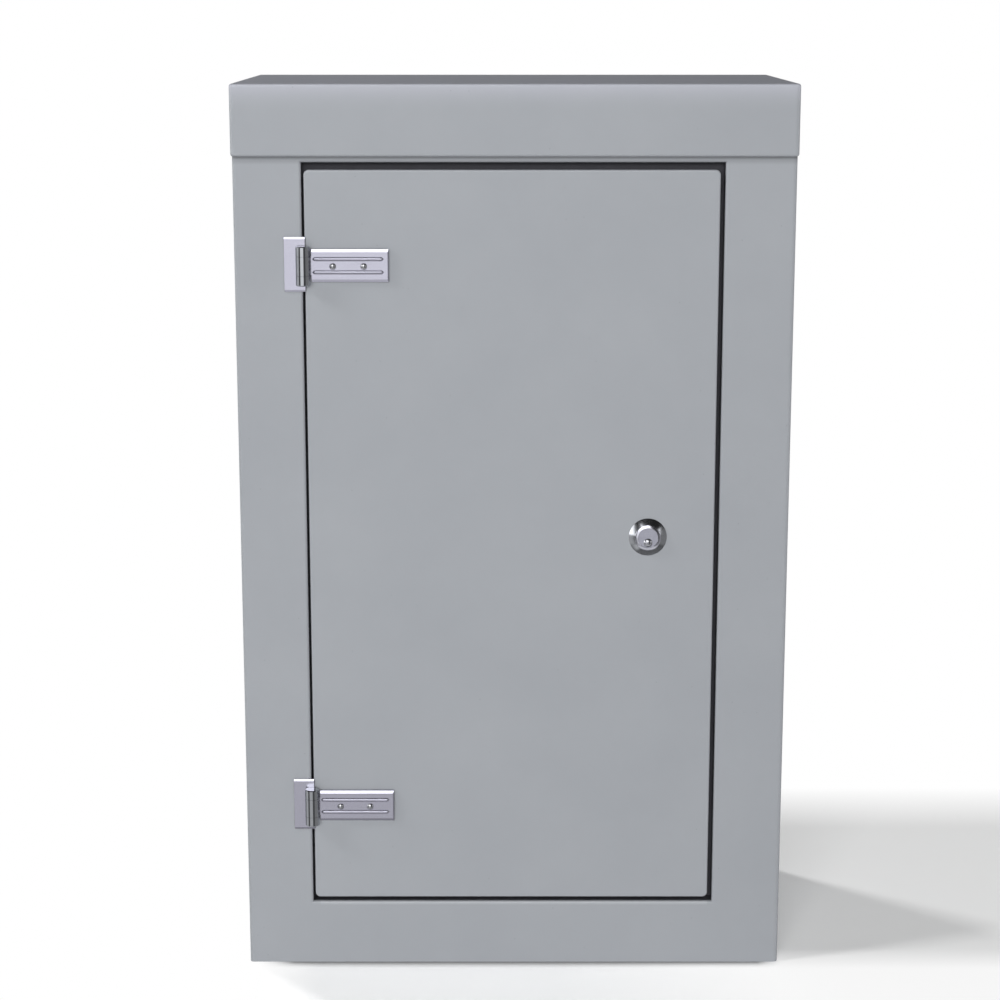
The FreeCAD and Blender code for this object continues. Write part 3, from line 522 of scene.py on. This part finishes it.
def make_lamp(name, place, aim, width, height, power):
    data = bpy.data.lights.new(name, "AREA")
    data.shape = "RECTANGLE"
    data.size = width
    data.size_y = height
    data.energy = power
    lamp = bpy.data.objects.new(name, data)
    lamp.location = place
    lamp.rotation_euler = (Vector(aim) - Vector(place)).to_track_quat("-Z", "Y").to_euler()
    lamp.visible_camera = False
    lamp.visible_glossy = False
    bpy.context.scene.collection.objects.link(lamp)


def window(tree, value, low, high, soft):
    """1 between two angles in degrees, falling to 0 over a soft border."""
    rise = remap(tree, value, math.radians(low - soft), math.radians(low))
    fall = remap(tree, value, math.radians(high), math.radians(high + soft), 1.0, 0.0)
    return math_node(tree, "MULTIPLY", rise, fall)


def surroundings(tree):
    """What metal and gloss see: a dim room with bright panels, by angle round from the front and angle up."""
    direction = node(tree, "ShaderNodeTexCoord").outputs["Generated"]
    parts = node(tree, "ShaderNodeSeparateXYZ", {"Vector": direction}).outputs
    towards_front = math_node(tree, "MULTIPLY", parts["Y"], -1.0)
    turn = math_node(tree, "ARCTAN2", parts["X"], towards_front)
    rise = math_node(tree, "ARCSINE", parts["Z"])
    total = remap(tree, rise, -1.3, 0.7, 0.2, 0.03)
    for turn_range, rise_range, soft, level in SOFT_BOXES:
        within_turn = window(tree, turn, *turn_range, soft)
        within_rise = window(tree, rise, *rise_range, soft)
        panel = math_node(tree, "MULTIPLY", within_turn, within_rise)
        total = math_node(tree, "MULTIPLY_ADD", panel, level, total)
    return total


def background(tree, colour, strength):
    return node(tree, "ShaderNodeBackground", {"Color": colour, "Strength": strength}).outputs[0]


def make_world():
    """White behind the object, an even low light from all round, and a lit room in reflections."""
    world = bpy.data.worlds.new("studio")
    world.use_nodes = True
    bpy.context.scene.world = world
    tree = world.node_tree
    path = node(tree, "ShaderNodeLightPath").outputs
    behind = background(tree, (1, 1, 1, 1), 1.0)
    room = background(tree, (0.97, 0.98, 1, 1), surroundings(tree))
    lighting = background(tree, (0.97, 0.98, 1, 1), AMBIENT)
    glossy = math_node(tree, "MAXIMUM", path["Is Glossy Ray"], path["Is Transmission Ray"])
    mixed = node(tree, "ShaderNodeMixShader", {0: glossy, 1: lighting, 2: room}).outputs[0]
    shown = node(tree, "ShaderNodeMixShader", {0: path["Is Camera Ray"], 1: mixed, 2: behind}).outputs[0]
    connect(tree, tree.nodes["World Output"].inputs["Surface"], shown)


# Panels of the reflected room: degrees round, degrees up, soft border in degrees, level.
SOFT_BOXES = (
    ((-36, 9), (16, 44), 4, 3.2),
    ((-36, 9), (-9, 12), 4, 1.15),
    ((-36, 9), (-32, -13), 4, 0.54),
    ((-70, 60), (-56, -42), 8, 0.62),
    ((-124, -68), (-34, 8), 5, 0.55),
    ((-106, -63), (-1, 32), 4, 2.6),
    ((46, 92), (-34, 10), 6, 0.2),
    ((55, 63), (2, 22), 3, 1.6),
)
AMBIENT = 0.08
LAMPS = (
    ("side_lamp", (-3.05, -1.2, 2.75), (0, 0, 0.5), 0.65, 0.65, 42),
    ("back_lamp", (-2.2, 2.2, 2.7), (0, 0, 0.5), 0.5, 0.5, 42),
    ("front_box", (-0.3, -9.0, 2.7), (0, 0, 0.5), 5.8, 2.4, 546),
    ("right_box", (3.6, -0.4, 1.5), (0, 0, 0.6), 1.6, 1.6, 32),
)

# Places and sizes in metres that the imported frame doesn't give by itself.
LEAF_FACE = -0.1725
STRAP_FACE = -0.175
WALL = 0.005
BARREL_REACH = 0.0087
RIVETS = (-0.2094, -0.1738)
RIVET_DROP = 0.0008
BOSS_HEIGHT = 0.0016
BOSS_RISE = 0.0072


def dress_nodes(materials):
    """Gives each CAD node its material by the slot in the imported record."""
    for name, thing in NODES.items():
        for slot in thing.material_slots:
            finish = slot.material.name.split(".")[0]
            # The roof cap and door skin take the gelcoat with painted highlights along their edges.
            if name in ("roof_cap", "door_skin"):
                finish = "grp_edge_highlit"
            slot.material = materials[finish]


def main():
    bpy.context.scene.view_settings.view_transform = "Standard"
    make_camera()
    steel = satin_steel(middle("upper_hinge_pin"))
    zinc = zinc_plate()
    plug_chrome = lock_chrome("plug_chrome", (0.44, 0.44, 0.505, 1), (0.47, 0.47, 0.535, 1))
    ring_chrome = lock_chrome("ring_chrome", (0.42, 0.43, 0.45, 1), (0.47, 0.48, 0.50, 1), 0.15, 0.2)
    # A brighter copy of the ring's chrome for its lip: painted highlight.
    highlit_lip_chrome = lock_chrome("highlit_lip_chrome", (0.58, 0.58, 0.64, 1), (0.63, 0.63, 0.69, 1), 0.17, 0.22)
    dark_steel = lock_chrome("dark_steel", (0.45, 0.45, 0.47, 1), (0.50, 0.50, 0.52, 1), 0.08, 0.13)
    dress_nodes({
        "grp": gelcoat("grey_gelcoat", False),
        "grp_edge_highlit": gelcoat("edge_highlit_gelcoat", True),
        "seal_rubber": seal_rubber(),
        "hinge_steel": steel,
        "lock_chrome": plug_chrome,
        "lock_zinc": zinc,
    })
    make_rivets(dark_steel, zinc)
    make_leaf_nuts(zinc)
    make_lock_ring(ring_chrome, highlit_lip_chrome)
    make_key_boss(dark_steel)
    make_barrel_thread(zinc)
    make_floor()
    make_world()
    for lamp in LAMPS:
        make_lamp(*lamp)


main()
